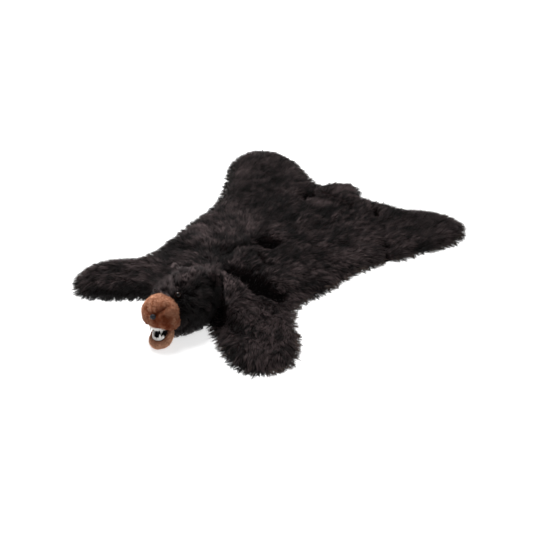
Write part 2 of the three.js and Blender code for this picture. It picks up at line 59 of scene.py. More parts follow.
# Camera at the photograph's viewing angle, and the studio, in metres and watts
CAMERA = {"place": (1.94944, -2.56595, 2.12062), "aim": (0.05737, -0.05508, 0.0), "lens": 72.194}
KEY_LIGHT = {"place": (-0.9, 0.05, 2.55), "aim": (0, 0, 0), "size": 1.4, "watts": 114}
FLOOR = {"half": 8.0, "grey": 0.55, "glow": 0.68}
SURROUNDINGS = 0.32  # brightness of the white room all round

# Fur sheets: the pile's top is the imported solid's top, read on a grid.
CELL = 4 * MM
MARGIN = 30 * MM  # the grid's reach beyond the solid
EDGE_HEIGHT = 13 * MM  # the cut edge is where the solid is higher than this
SKIN_STEP = 8 * MM
SKIN_EDGE = 3 * MM  # thickness of the skin at its cut edge
UNDERSIDE = 0.6 * MM
PILE_DEPTH = {"pelt": 11 * MM, "tail": 8 * MM}
EDGE_INSET = 4 * MM  # the skin stops this far inside the pile's edge
SKIN_SHOULDER = 30 * MM  # how far in from its edge the skin has its full height
FRINGE_REACH = 15 * MM

# The nap: which way the fur lies at these places, in mm and in degrees from +X, how many degrees
# more or less than its coat it stands up, how light it is, and how strong its streaks are.
# The light column is partly the fur's own tone and partly painted light, most of all on the fore legs
NAP = rows_of(
    "at x y towards stands light streaks",
    ("nape", 39, -270, 90, 4, 0.24, 1.4),
    ("between shoulders", 0, -120, 88, 2, 0.2, 1.4),
    ("left shoulder", 190, -250, -24, -12, 0.5, 1.5),
    ("left fore leg", 290, -380, -58, -20, 0.8, 2.0),
    ("left fore paw", 370, -520, -64, -20, 0.8, 2.0),
    ("right shoulder", -170, -260, 205, -4, 0.14, 1.0),
    ("right fore leg", -290, -420, 225, -10, 0.22, 1.4),
    ("right fore paw", -380, -520, 235, -10, 0.24, 1.4),
    ("back", 60, 60, 45, 0, 0.2, 1.4),
    ("left flank", 260, 20, 15, -8, 0.56, 1.6),
    ("right flank", -260, 0, 150, 0, 0.17, 1.1),
    ("rump", 20, 250, 66, 0, 0.2, 1.1),
    ("before the tail", 90, 380, 80, -4, 0.4, 1.4),
    ("left thigh", 280, 280, 48, -10, 0.5, 1.2),
    ("left hind paw", 450, 520, 60, -14, 0.36, 0.4),
    ("right thigh", -280, 300, 72, 0, 0.15, 0.8),
    ("right hind paw", -440, 540, 78, -4, 0.15, 0.7),
)
NAP_REACH = 90 * MM

# Folds, hollows and seams in the pelt, in mm: a trough of that half width and depth along its line.
# bare is how much of the pile it parts, and tone makes the pile there lighter or darker.
# tone paints shade in folds, hollows and creases and along the front-facing rims, and paints light on the
# raised lump and ridge by the tail
FOLDS = rows_of(
    "at line half depth bare tone",
    ("shoulder fold", [(-6, -172), (56, -184), (110, -190), (208, -190)], 29, 34, 1.0, -0.8),
    ("widest in its middle", [(36, -176), (128, -186)], 48, 30, 1.0, -0.8),
    ("hollow in the back", [(-38, 52), (-10, 52)], 39, 28, 1.0, -0.8),
    ("beside the hollow", [(-46, 16), (-66, -12), (-98, -84)], 14, 12, 0.5, -0.35),
    ("seam below the hollow", [(-6, -28), (44, -63), (68, -84), (102, -59)], 9, 12, 0.6, -0.5),
    ("behind the nape", [(-87, -136), (-76, -86)], 20, 6, 0.2, -0.5),
    ("right shoulder dip", [(-262, -176), (-238, -168)], 22, 7, 0.2, -0.2),
    ("beside the nape", [(-112, -180), (-84, -190)], 20, 9, 0.3, -0.25),
    ("left fore leg dimple", [(214, -268), (258, -276)], 12, 9, 0.4, -0.25),
    ("left fore paw hollow", [(178, -398), (216, -416)], 20, 12, 0.4, -0.25),
    ("behind the head", [(44, -296), (92, -352), (144, -418)], 17, 16, 0.7, -0.4),
    ("hole by the tail", [(-100, 404), (-96, 438)], 21, 30, 1.0, -0.7),
    ("crease by the tail", [(-88, 376), (-70, 330), (-39, 271), (-24, 222)], 13, 8, 0.25, -0.25),
    ("lump by the tail", [(-48, 400), (-24, 366)], 22, -2, 0.0, 0.32),
    ("ridge before the tail", [(4, 368), (30, 425)], 18, -2, 0.0, 0.28),
    ("hollow before the tail", [(-62, 196), (-40, 236)], 26, 4, 0.0, -0.35),
    ("dark band", [(-31, 240), (-14, 281), (17, 322), (46, 368)], 26, 4, 0.0, -0.4),
    ("long crease", [(60, 232), (58, 320), (52, 402)], 13, 7, 0.15, -0.35),
    ("long crease", [(100, 262), (98, 350), (92, 452)], 13, 7, 0.15, -0.35),
    ("long crease", [(134, 300), (140, 390)], 13, 7, 0.15, -0.35),
    ("hind seam mark", [(196, 448), (171, 485)], 12, 13, 0.9, -0.4),
    ("hind seam", [(189, 488), (253, 400), (304, 326)], 9, 3, 0.0, 0.14),
    ("hind seam mark", [(313, 291), (321, 304), (344, 289)], 11, 13, 0.9, -0.5),
    ("hind seam mark", [(362, 253), (388, 224)], 11, 13, 0.9, -0.5),
    ("left thigh dip", [(190, 196), (206, 204)], 12, 9, 0.4, -0.3),
    ("left hind dip", [(426, 360), (436, 372)], 10, 6, 0.3, -0.2),
    # Painted shade in hollows of the left fore paw and leg, and along the front-facing rims
    ("patch, left fore paw", [(206, -410), (258, -432)], 24, 9, 0.25, -0.8),
    ("band, left fore paw", [(258, -376), (306, -438)], 15, 5, 0.15, -0.5),
    ("spot, left fore leg", [(248, -334), (280, -338)], 16, 8, 0.3, -0.75),
    ("rim, left fore paw", [(300, -520), (340, -548), (376, -556)], 36, 3, 0.0, -0.85),
    ("rim, right fore leg", [(-160, -452), (-214, -504), (-262, -542), (-300, -572)], 42, 4, 0.0, -0.9),
    ("right hind dip", [(-232, 330), (-222, 344)], 9, 6, 0.4, -0.2),
)
PARTED = 4 * MM  # top of the pile in the deepest fold
SHORN_BESIDE = 18 * MM  # the pile is shorter this far beside a fold
# Layers of unevenness, each with its lumps' size in mm, its strength and its seed
RAGGED = [(24, 0.3, 11), (9, 0.25, 14)]  # a fold's sides
RUFFLES = [(52, 6.0, 12), (23, 3.4, 13)]  # the pile's height, in mm
SWIRLS = [(70, 1, 21), (34, 0.6, 22)]  # the nap's direction
PATCHES = [(95, 0.16, 31), (42, 0.22, 32)]  # lighter and darker pile on the sheets
HEAD_PATCHES = [(60, 0.2, 44), (24, 0.22, 45)]
PLUSH_PATCHES = [(24, 0.2, 51), (9, 0.22, 56), (5, 0.2, 57)]
# How strong the pile's other differences are, and how much painted shade darkens folds and the front edge
DIFFER = {"clump": 0.24, "streak": 0.24, "strand": 0.08}
PAINTED_SHADE = {"deep": 0.3, "front edge": 0.4}

# Each coat of fur, in mm and degrees. lean is the angle off the skin at root and at tip. turn is how
# far a tuft, a clump and a strand stray from the nap, and gather how far tips draw together in a clump.
COATS = {row["coat"]: row for row in rows_of(
    "coat length vary width lean turn clump gather",
    ("pelt", 32, 0.2, 1.5, (40, 6), (14, 8, 6), 15, 0.4),
    ("undercoat", 22, 0.2, 1.7, (27, 27), (14, 8, 8), 15, 0.1),
    ("rim", 34, 0.3, 1.5, (32, 6), (16, 22, 10), 15, 0.82),
    ("head", 25, 0.25, 1.5, (50, 16), (20, 14, 9), 13, 0.5),
    ("ear", 12, 0.2, 1.3, (50, 22), (10, 12, 10), 7, 0.4),
    ("plush", 5.5, 0.2, 1.2, (46, 46), (10, 8, 16), 5, 0.1),
)}
TUFT = 42  # how far across the tufts are, in which the fur lies alike
STRANDS = {
    "pelt": 30000, "pelt_under": 52000, "rim": 12000, "tail": 2400, "tail_under": 2600, "head": 6500,
    "head_under": 8000, "brow": 1100, "ear": 2200, "muzzle": 12000, "jaw": 5000}
PELT_PARTS = ["shoulders", "back", "rump", "rear"]  # the pelt's fur, from the head to the tail

# The head's places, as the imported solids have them, in mm and degrees
HEAD_X = 39
HEAD_AXIS_HEIGHT = 98
HEAD_ROLL = 15
SIDES = [("left", 1), ("right", -1)]
MUZZLE = {"place": (37, -583, 102), "turn": 20, "across": 62}
JAW = {"place": (55, -609), "half": 36, "along": 46}
# Grooves by the directions of their ends from the muzzle's middle: left, front and up.
MUZZLE_GROOVES = rows_of(
    "from to half share",
    ((0.05, 0.95, 0.3), (0.8, 0.45, 0.6), 0.12, 1.0),
    ((-0.05, 0.95, 0.3), (-0.75, 0.4, 0.6), 0.12, 0.8),
    ((0.5, 0.85, 0.1), (0.62, 0.72, -0.5), 0.16, 0.7),
    ((0.0, 1.0, 0.05), (0.05, 0.9, -0.6), 0.1, 0.7),
    ((-0.55, 0.8, -0.1), (-0.6, 0.6, -0.6), 0.14, 0.6),
)
GROOVE_DEPTH = 6
# Places on both sides of the head, aside and up as the head is rolled
EYE = {"aside": 49, "y": -540, "up": 51, "radius": 10}
# Where painted shadow darkens the fur under the eyes
PAINTED_EYE_SHADOW = {"aside": 58, "y": -545, "up": 36, "across": 23}
BROW_TUFT = {"aside": 36, "y": -541, "up": 54, "across": 12}
BROW = {"stands": 34, "across": 20, "aside": 62}
NOSTRIL = {"aside": 4.6, "down": 2.5, "width": 2.6, "depth": 2.6}
# How light the head's and the muzzle's fur is, and how much lighter or darker their parts are
# The head's sides, by muzzle, under eye and round eye, and the muzzle's centre and grooves, are painted
# shade
HEAD_TONE_AND_PAINTED_SHADE = {"top": 0.52, "sides": 0.66, "under eye": 0.9, "by muzzle": 0.3, "round eye": 0.6}
MUZZLE_TONE_AND_PAINTED_SHADE = {"all": 0.62, "centre": 0.6, "grooves": 0.62, "round nose": 0.3}
# Stuffed skins, in mm: the even mesh's step and smoothing rounds, how far the skin lies under the
# solid's surface, how far filling may move it, and how full it is.
STUFFED = {row["node"]: row for row in rows_of(
    "node step rounds inset cap fill",
    ("head", 5, 6, 8, 5, 0.8),
    ("ear_left", 2.5, 3, 3.5, 2, 0.5),
    ("ear_right", 2.5, 3, 3.5, 2, 0.5),
    ("muzzle", 3.5, 3, 3.2, 3, 0.9),
    ("jaw", 2.5, 3, 2.6, 2.5, 0.8),
)}

# Small helpers


def soft(t):
    t = np.clip(t, 0, 1)
    return t * t * (3 - 2 * t)


def unit(vectors):
    return vectors / np.maximum(np.linalg.norm(vectors, axis=-1, keepdims=True), 1e-9)


def along_surface(vectors, normals):
    """Vectors made square to the normals, at length 1."""
    return unit(vectors - normals * (vectors * normals).sum(1, keepdims=True))


def turned(vectors, axes, angles):
    """Vectors turned about axes square to them, by angles in radians."""
    return vectors * np.cos(angles)[:, None] + np.cross(axes, vectors) * np.sin(angles)[:, None]


def waves(x, y, size, seed):
    """Smooth noise from -1 to 1, with lumps about size across."""
    side = 64
    table = np.random.default_rng(seed).uniform(-1, 1, (side, side))
    u, v = x / size + 17.3, y / size + 5.9
    i, j = np.floor(u).astype(int), np.floor(v).astype(int)
    a, b = soft(u - i), soft(v - j)

    def at(m, n):
        return table[(i + m) % side, (j + n) % side]

    return (1 - b) * ((1 - a) * at(0, 0) + a * at(1, 0)) + b * ((1 - a) * at(0, 1) + a * at(1, 1))


def lumps(x, y, layers):
    return sum(strength * waves(x, y, size * MM, seed) for size, strength, seed in layers)


def over(points, layers):
    """lumps over a surface that isn't level."""
    return lumps(points[:, 0] + 0.6 * points[:, 2], points[:, 1] - 0.7 * points[:, 2], layers)


def read_mesh(mesh):
    """Points, triangles and point normals of a mesh."""
    def read(items, what, kind):
        values = np.empty(len(items) * 3, kind)
        items.foreach_get(what, values)
        return values.reshape(-1, 3)

    mesh.calc_loop_triangles()
    points, normals = (read(mesh.vertices, what, np.float32).astype(float) for what in ("co", "normal"))
    return points, read(mesh.loop_triangles, "vertices", np.int32), normals


def mesh_of(name, points, faces):
    """A mesh of triangles or four-sided faces from arrays."""
    mesh = bpy.data.meshes.new(name)
    corners = faces.shape[1]
    mesh.vertices.add(len(points))
    mesh.vertices.foreach_set("co", points.astype(np.float32).ravel())
    mesh.loops.add(faces.size)
    mesh.loops.foreach_set("vertex_index", faces.astype(np.int32).ravel())
    mesh.polygons.add(len(faces))
    mesh.polygons.foreach_set("loop_start", np.arange(0, faces.size, corners, dtype=np.int32))
    mesh.polygons.foreach_set("use_smooth", np.ones(len(faces), bool))
    mesh.update(calc_edges=True)
    mesh.validate()
    return mesh


def placed(name, data):
    """A new object in the scene."""
    made = bpy.data.objects.new(name, data)
    bpy.context.scene.collection.objects.link(made)
    return made


def piece(name, mesh, slot, *materials, node=None):
    """A piece of the rug that rides on its one body, in place of a solid's node if that is given."""
    for material in materials:
        mesh.materials.append(material)
    made = placed(name, mesh)
    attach(made, "root")
    if node:
        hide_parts(node)
    return made


def mark(mesh, tone, along):
    """The two numbers that colour the pile: tone from 0, dark, to 1, light, and along from root to tip."""
    for name, values in (("tone", tone), ("along", along)):
        values = np.broadcast_to(values, len(mesh.vertices)).astype(np.float32)
        mesh.attributes.new(name, "FLOAT", "POINT").data.foreach_set("value", values)


def middle_of(node):
    low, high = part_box(node)
    return np.array((low + high) / 2)


def tree_of(node):
    points, triangles, _ = read_mesh(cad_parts[node].data)
    return BVHTree.FromPolygons(points.tolist(), triangles.tolist())


# Materials


def effect(name, inputs, outputs):
    """An empty node group with named sockets, and its first and last nodes."""
    tree = bpy.data.node_groups.new(name, "ShaderNodeTree")
    for label, kind, value in inputs:
        tree.interface.new_socket(label, in_out="INPUT", socket_type=kind).default_value = value
    for label, kind in outputs:
        tree.interface.new_socket(label, in_out="OUTPUT", socket_type=kind)
    return tree, tree.nodes.new("NodeGroupInput"), tree.nodes.new("NodeGroupOutput")


def new_node(tree, kind, **values):
    """A shader node with its sockets' values, named with _ for a space."""
    return give(tree.nodes.new("ShaderNode" + kind), **values)


def give(node, **values):
    for label, value in values.items():
        node.inputs[label.replace("_", " ")].default_value = value
    return node


def join(tree, *links):
    """Links, each from a node's output to a node's input."""
    for first, output, second, socket in links:
        tree.links.new(first.outputs[output], second.inputs[socket])


def attribute(tree, name):
    node = new_node(tree, "Attribute")
    node.attribute_name = name
    return node


def blend_node(tree, factor, first, second):
    node = new_node(tree, "Mix")
    node.data_type = "RGBA"
    for socket, value in ((node.inputs[0], factor), (node.inputs[6], first), (node.inputs[7], second)):
        if isinstance(value, bpy.types.NodeSocket):
            tree.links.new(value, socket)
        else:
            socket.default_value = value
    return node.outputs[2]


def range_node(tree, value, low, high):
    """value from 0 to 1 taken to low to high."""
    node = new_node(tree, "MapRange", To_Min=low, To_Max=high)
    tree.links.new(value, node.inputs["Value"])
    return node.outputs["Result"]


def pile_colour():
    """Colour and roughness of a strand from its tone and the way along it; darker towards the root as
    painted shade deep in the pile.
    """
    inputs = [(label, "NodeSocketColor", (0, 0, 0, 1)) for label in ("Root", "Dark", "Light")]
    outputs = [("Colour", "NodeSocketColor"), ("Roughness", "NodeSocketFloat")]
    tree, given, result = effect("pile colour", inputs, outputs)
    tone = attribute(tree, "tone").outputs["Fac"]
    along = attribute(tree, "along").outputs["Fac"]
    tip = blend_node(tree, tone, given.outputs["Dark"], given.outputs["Light"])
    tree.links.new(blend_node(tree, along, given.outputs["Root"], tip), result.inputs["Colour"])
    tree.links.new(range_node(tree, along, 0.62, 0.5), result.inputs["Roughness"])
    return tree


def nap_bump():
    """Fine bump of cloth, felt or a shorn pile."""
    inputs = [("Scale", "NodeSocketFloat", 600.0), ("Depth", "NodeSocketFloat", 0.4)]
    outputs = [("Normal", "NodeSocketVector"), ("Nap", "NodeSocketFloat")]
    tree, given, result = effect("nap bump", inputs, outputs)
    noise = new_node(tree, "TexNoise", Detail=3)
    bump = new_node(tree, "Bump", Distance=1.2 * MM)
    join(
        tree,
        (new_node(tree, "TexCoord"), "Object", noise, "Vector"),
        (given, "Scale", noise, "Scale"),
        (given, "Depth", bump, "Strength"),
        (noise, "Fac", bump, "Height"),
        (bump, "Normal", result, "Normal"),
        (noise, "Fac", result, "Nap"),
    )
    return tree


PILE = pile_colour()
NAP_BUMP = nap_bump()


def material(name):
    made = bpy.data.materials.new(name)
    made.use_nodes = True
    return made, made.node_tree, made.node_tree.nodes["Principled BSDF"]


def group_node(tree, group, **values):
    node = new_node(tree, "Group")
    node.node_tree = group
    return give(node, **values)


def pile_material(name, root, dark, light, specular, bumpy=None):
    """A pile, or with bumpy the skin that it grows from."""
    made, tree, shader = material(name)
    pile = group_node(tree, PILE, Root=(*root, 1), Dark=(*dark, 1), Light=(*light, 1))
    join(tree, (pile, "Colour", shader, "Base Color"), (pile, "Roughness", shader, "Roughness"))
    give(shader, Specular_IOR_Level=specular)
    if bumpy:
        nap = group_node(tree, NAP_BUMP, Scale=bumpy, Depth=0.9)
        join(tree, (nap, "Normal", shader, "Normal"))
    return made


def cloth_material(name, dark, light, scale, depth, roughness, specular=0.3):
    made, tree, shader = material(name)
    nap = group_node(tree, NAP_BUMP, Scale=scale, Depth=depth)
    colour = blend_node(tree, nap.outputs["Nap"], (*dark, 1), (*light, 1))
    tree.links.new(colour, shader.inputs["Base Color"])
    join(tree, (nap, "Normal", shader, "Normal"))
    give(shader, Roughness=roughness, Specular_IOR_Level=specular)
    return made


def knit_material(name, dark, light, pitch):
    """The knitted wrong side of the fur cloth."""
    made, tree, shader = material(name)
    place = new_node(tree, "TexCoord")
    loops = new_node(tree, "Math")
    loops.operation = "MULTIPLY"
    for k, across in enumerate("XY"):
        wave = new_node(tree, "TexWave", Scale=0.314 / pitch, Distortion=0.6)
        wave.bands_direction = across
        join(tree, (place, "Object", wave, "Vector"), (wave, "Fac", loops, k))
    bump = new_node(tree, "Bump", Distance=0.6 * MM)
    join(tree, (loops, 0, bump, "Height"), (bump, "Normal", shader, "Normal"))
    colour = blend_node(tree, loops.outputs[0], (*dark, 1), (*light, 1))
    tree.links.new(colour, shader.inputs["Base Color"])
    give(shader, Roughness=0.9)
    return made


def eye_material():
    """Black outside, a dark brown ring and a black pupil, under a clear polish."""
    made, tree, shader = material("polished eye")
    ramp = new_node(tree, "ValToRGB")
    stops = [
        (0.0, (0.002, 0.002, 0.002)),
        (0.2, (0.002, 0.002, 0.002)),
        (0.24, (0.016, 0.005, 0.002)),
        (0.42, (0.008, 0.003, 0.0015)),
        (0.47, (0.002, 0.001, 0.001)),
    ]
    for i, (at, colour) in enumerate(stops):
        stop = ramp.color_ramp.elements[i] if i < 2 else ramp.color_ramp.elements.new(at)
        stop.position = at
        stop.color = (*colour, 1)
    join(tree, (attribute(tree, "off_axis"), "Fac", ramp, "Fac"), (ramp, "Color", shader, "Base Color"))
    give(shader, Roughness=0.08, Specular_IOR_Level=0.22)
    return made


# Each pile by its colour at the root, at a dark tip and at a light tip, and how much it shines
# The darker root colour is painted shade deep in the pile
BLACK_PILE = pile_material(
    "black pile", (0.002, 0.0014, 0.0014), (0.0045, 0.0028, 0.0027), (0.175, 0.126, 0.126), 0.22
)
BLACK_FRINGE = pile_material(
    "black fringe", (0.002, 0.0014, 0.0013), (0.004, 0.0026, 0.002), (0.16, 0.114, 0.094), 0.2
)
BLACK_SKIN = pile_material(
    "black pile skin", (0.001, 0.0008, 0.0008), (0.002, 0.0015, 0.0015), (0.06, 0.04, 0.04), 0.0, 420
)
BROWN_PILE = pile_material(
    "brown plush", (0.17, 0.04, 0.015), (0.25, 0.055, 0.016), (0.95, 0.54, 0.345), 0.08
)
BROWN_SKIN = pile_material(
    "brown plush skin", (0.16, 0.042, 0.018), (0.2, 0.05, 0.018), (0.72, 0.37, 0.23), 0.04, 700
)
BACKING = knit_material("knitted backing", (0.006, 0.006, 0.006), (0.02, 0.02, 0.02), 2.4 * MM)
MOUTH_CLOTH = cloth_material("mouth cloth", (0.003, 0.0025, 0.0025), (0.014, 0.011, 0.011), 500, 0.6, 0.85)
TOOTH_FELT = cloth_material("tooth felt", (0.8, 0.77, 0.73), (0.95, 0.93, 0.9), 900, 0.5, 0.8)
NOSE_BLACK = cloth_material(
    "nose satin", (0.007, 0.007, 0.009), (0.02, 0.021, 0.027), 1400, 0.35, 0.5, 0.18
)
EYE_BROWN = eye_material()

# Fur sheets as grids


def blurred(grid, reach):
    """A grid smoothed over reach, in cells."""
    steps = np.arange(-int(2.5 * reach), int(2.5 * reach) + 1)
    weights = np.exp(-((steps / reach) ** 2) / 2)
    weights /= weights.sum()
    for axis in (0, 1):
        wider = [(len(steps) // 2,) * 2 if k == axis else (0, 0) for k in (0, 1)]
        padded = np.pad(grid, wider, mode="edge")
        grid = np.apply_along_axis(lambda line: np.convolve(line, weights, "valid"), axis, padded)
    return grid


def distance_to(marked):
    """Each cell's distance to the nearest marked one, in metres."""
    targets = np.argwhere(marked).astype(np.float32)
    rows, columns = np.indices(marked.shape)
    places = np.stack([rows.ravel(), columns.ravel()], 1).astype(np.float32)
    nearest = np.empty(len(places), np.float32)
    for k in range(0, len(places), 4000):
        part = places[k:k + 4000]
        apart = (part**2).sum(1)[:, None] + (targets**2).sum(1)[None] - 2 * part @ targets.T
        nearest[k:k + 4000] = np.sqrt(np.maximum(apart.min(1), 0))
    return nearest.reshape(marked.shape) * CELL


def distance_along(line, x, y):
    """Distance of places to a line through points in mm."""
    nearest = np.full(np.shape(x), np.inf)
    for (x1, y1), (x2, y2) in zip(line, line[1:]):
        x1, y1, dx, dy = x1 * MM, y1 * MM, (x2 - x1) * MM, (y2 - y1) * MM
        t = np.clip(((x - x1) * dx + (y - y1) * dy) / (dx * dx + dy * dy), 0, 1)
        nearest = np.minimum(nearest, np.hypot(x - x1 - t * dx, y - y1 - t * dy))
    return nearest


def rough(y):
    """How ruffled the pile is: 1 over the shoulders and fore legs, 0 over the smooth rump."""
    return soft((0.2 - y) / 0.36)


class Sheet:
    """The top of a fur sheet's solid: its height, and how far inside its cut edge a place is."""

    def __init__(self, node, folds=()):
        low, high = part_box(node)
        self.x0, self.y0 = low.x - MARGIN, low.y - MARGIN
        self.xs = np.arange(self.x0, high.x + MARGIN, CELL)
        self.ys = np.arange(self.y0, high.y + MARGIN, CELL)
        tree = tree_of(node)
        down = Vector((0, 0, -1))
        top = np.zeros((len(self.ys), len(self.xs)))
        for j, y in enumerate(self.ys):
            for i, x in enumerate(self.xs):
                hit = tree.ray_cast(Vector((x, y, 1)), down)[0]
                if hit:
                    top[j, i] = hit.z
        cut = top > EDGE_HEIGHT
        all_round = [np.roll(cut, step, axis) for step in (1, -1) for axis in (0, 1)]
        apart = distance_to(cut & ~np.all(all_round, axis=0))
        self.inside = blurred(np.where(cut, apart, -apart), 1.0)
        share = blurred(cut.astype(float), 1.5)
        self.top = np.where(share > 0.02, blurred(top * cut, 1.5) / np.maximum(share, 0.02), 0)
        self.broad = np.where(share > 0.02, blurred(self.top, 9), 0)
        self.bare, self.tint, self.shorn = (np.zeros_like(self.top) for _ in range(3))
        x, y = np.meshgrid(self.xs, self.ys)
        ruffles = lumps(x, y, RUFFLES) * MM * (0.45 + 0.55 * rough(y))
        self.top += ruffles * soft(self.inside / (24 * MM))
        ragged = 1 + lumps(x, y, RAGGED)
        for fold in folds:
            half = fold["half"] * MM * ragged
            apart = distance_along(fold["line"], x, y)
            part = np.exp(-((apart / half) ** 4))
            beside = np.exp(-((apart / (half + SHORN_BESIDE)) ** 4))
            self.shorn = np.maximum(self.shorn, fold["bare"] * beside)
            self.top = np.maximum(self.top - fold["depth"] * MM * part, np.minimum(self.top, PARTED))
            self.bare = np.maximum(self.bare, fold["bare"] * part)
            # A fold's tone: painted shade in folds and hollows, painted light on raised lumps
            self.tint += fold["tone"] * part

    def read(self, grid, x, y):
        u = np.clip((x - self.x0) / CELL, 0, len(self.xs) - 1.001)
        v = np.clip((y - self.y0) / CELL, 0, len(self.ys) - 1.001)
        i, j = u.astype(int), v.astype(int)
        a, b = u - i, v - j
        low = grid[j, i] * (1 - a) + grid[j, i + 1] * a
        high = grid[j + 1, i] * (1 - a) + grid[j + 1, i + 1] * a
        return low * (1 - b) + high * b

    def slope(self, grid, x, y):
        """How fast a grid rises towards +X and +Y."""
        step = 1.5 * CELL
        across = self.read(grid, x + step, y) - self.read(grid, x - step, y)
        along = self.read(grid, x, y + step) - self.read(grid, x, y - step)
        return np.stack([across, along], -1) / (2 * step)


def sheet_skin(node, sheet, base=None):
    """The padded skin under a sheet's pile. It lies on the floor, or on the surface that base gives."""
    xs = np.arange(sheet.xs[0], sheet.xs[-1], SKIN_STEP)
    ys = np.arange(sheet.ys[0], sheet.ys[-1], SKIN_STEP)
    x, y = (grid.ravel() for grid in np.meshgrid(xs, ys))
    nx = len(xs)
    corner = (np.arange(len(ys) - 1)[:, None] * nx + np.arange(nx - 1)[None]).ravel()
    quads = np.stack([corner, corner + 1, corner + nx + 1, corner + nx], 1)
    inside = sheet.read(sheet.inside, x, y)
    quads = quads[inside[quads].mean(1) > EDGE_INSET]
    used, quads = np.unique(quads, return_inverse=True)
    quads = quads.reshape(-1, 4)
    x, y = x[used], y[used]
    edges = np.concatenate([quads[:, [k, (k + 1) % 4]] for k in range(4)])
    count = len(used)
    outer = edges[~np.isin(edges[:, 0] * count + edges[:, 1], edges[:, 1] * count + edges[:, 0])]
    rim = np.unique(outer)
    for _ in range(3):
        gap = sheet.read(sheet.inside, x[rim], y[rim]) - EDGE_INSET
        uphill = sheet.slope(sheet.inside, x[rim], y[rim])
        uphill /= np.maximum((uphill**2).sum(1, keepdims=True), 0.3)
        x[rim] -= gap * uphill[:, 0]
        y[rim] -= gap * uphill[:, 1]
    rise = soft((sheet.read(sheet.inside, x, y) - EDGE_INSET) / SKIN_SHOULDER)
    lies_on = base(x, y) if base else np.full(len(x), UNDERSIDE)
    full = np.maximum(sheet.read(sheet.top, x, y) - PILE_DEPTH[node], lies_on + SKIN_EDGE)
    top = lies_on + SKIN_EDGE + (full - lies_on - SKIN_EDGE) * rise
    points = np.concatenate([np.stack([x, y, top], 1), np.stack([x, y, lies_on], 1)])
    walls = np.stack([outer[:, 0], outer[:, 0] + count, outer[:, 1] + count, outer[:, 1]], 1)
    mesh = mesh_of(f"{node}_skin", points, np.concatenate([quads, quads[:, ::-1] + count, walls]))
    under = np.zeros(len(mesh.polygons), np.int32)
    under[len(quads):2 * len(quads)] = 1
    skin = piece(f"{node}_skin", mesh, "black_fur", BLACK_SKIN, BACKING, node=node)
    mesh.polygons.foreach_set("material_index", under)
    # Bare skin in folds takes the darkest root colour, as painted shade
    covered = 1 - np.tile(sheet.read(sheet.bare, x, y), 2)
    mark(mesh, 0.35 * covered, 0.6 * covered)
    return skin


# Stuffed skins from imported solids


def remeshed(node, voxel, rounds):
    """A node's form as an even mesh of that voxel size, smoothed."""
    copy = placed("form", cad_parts[node].data.copy())
    weld = copy.modifiers.new("weld", "WELD")
    weld.merge_threshold = 0.01 * MM
    remesh = copy.modifiers.new("even", "REMESH")
    remesh.mode = "VOXEL"
    remesh.voxel_size = voxel
    smooth = copy.modifiers.new("smooth", "SMOOTH")
    smooth.iterations = rounds
    made = bpy.data.meshes.new_from_object(copy.evaluated_get(bpy.context.evaluated_depsgraph_get()))
    bpy.data.objects.remove(copy)
    made.materials.clear()
    made.polygons.foreach_set("use_smooth", np.ones(len(made.polygons), bool))
    return made


def move_points(mesh, points):
    mesh.vertices.foreach_set("co", points.astype(np.float32).ravel())
    mesh.update()


def shrink(mesh, inset):
    """Draws a skin in by inset, but less where it rests on the floor."""
    points, _, normals = read_mesh(mesh)
    off_floor = soft(points[:, 2] / (12 * MM))[:, None]
    points -= normals * inset * (0.15 + 0.85 * off_floor)
    points[:, 2] = np.maximum(points[:, 2], UNDERSIDE)
    move_points(mesh, points)


def stuff(mesh, cap):
    """Fills a sewn skin by cloth pressure, no point moving further than cap."""
    filled = placed("filling", mesh)
    cloth = filled.modifiers.new("filling", "CLOTH")
    cloth.settings.use_pressure = True
    cloth.settings.uniform_pressure_force = 4.0
    cloth.settings.effector_weights.gravity = 0
    cloth.settings.quality = 5
    cloth.point_cache.frame_start = 1
    cloth.point_cache.frame_end = 20
    for number in range(1, 21):
        bpy.context.scene.frame_set(number)
    evaluated = filled.evaluated_get(bpy.context.evaluated_depsgraph_get())
    after = read_mesh(evaluated.data)[0]
    before = read_mesh(mesh)[0]
    bpy.context.scene.frame_set(1)
    bpy.data.objects.remove(filled)
    step = after - before
    size = np.linalg.norm(step, axis=1, keepdims=True)
    points = before + step * np.minimum(1, cap / np.maximum(size, 1e-9))
    points[:, 2] = np.maximum(points[:, 2], UNDERSIDE)
    move_points(mesh, points)


# Fur


def scatter(mesh, count, rng, weight=None):
    """Random places on a mesh with their normals. weight gives each triangle's share by its middle."""
    points, triangles, normals = read_mesh(mesh)
    a, b, c = (points[triangles[:, k]] for k in range(3))
    share = np.linalg.norm(np.cross(b - a, c - a), axis=1)
    if weight is not None:
        share = share * weight((a + b + c) / 3)
    pick = rng.choice(len(triangles), count, p=share / share.sum())
    u, v = rng.random((2, count))
    fold = u + v > 1
    u[fold], v[fold] = 1 - u[fold], 1 - v[fold]
    shares = np.stack([1 - u - v, u, v], 1)[:, :, None]
    return (points[triangles[pick]] * shares).sum(1), unit((normals[triangles[pick]] * shares).sum(1))


def clumps_of(places, across, rng):
    """The clump that each place belongs to, for clumps about that far across."""
    order = rng.permutation(len(places))
    area = np.prod(np.ptp(places[:, :2], axis=0)) * 0.6
    count = int(np.clip(area / across**2, 8, len(places) / 2))
    centres = places[order[:count]]
    tree = KDTree(count)
    for k, centre in enumerate(centres):
        tree.insert(centre, k)
    tree.balance()
    return np.array([tree.find(place)[1] for place in places]), count


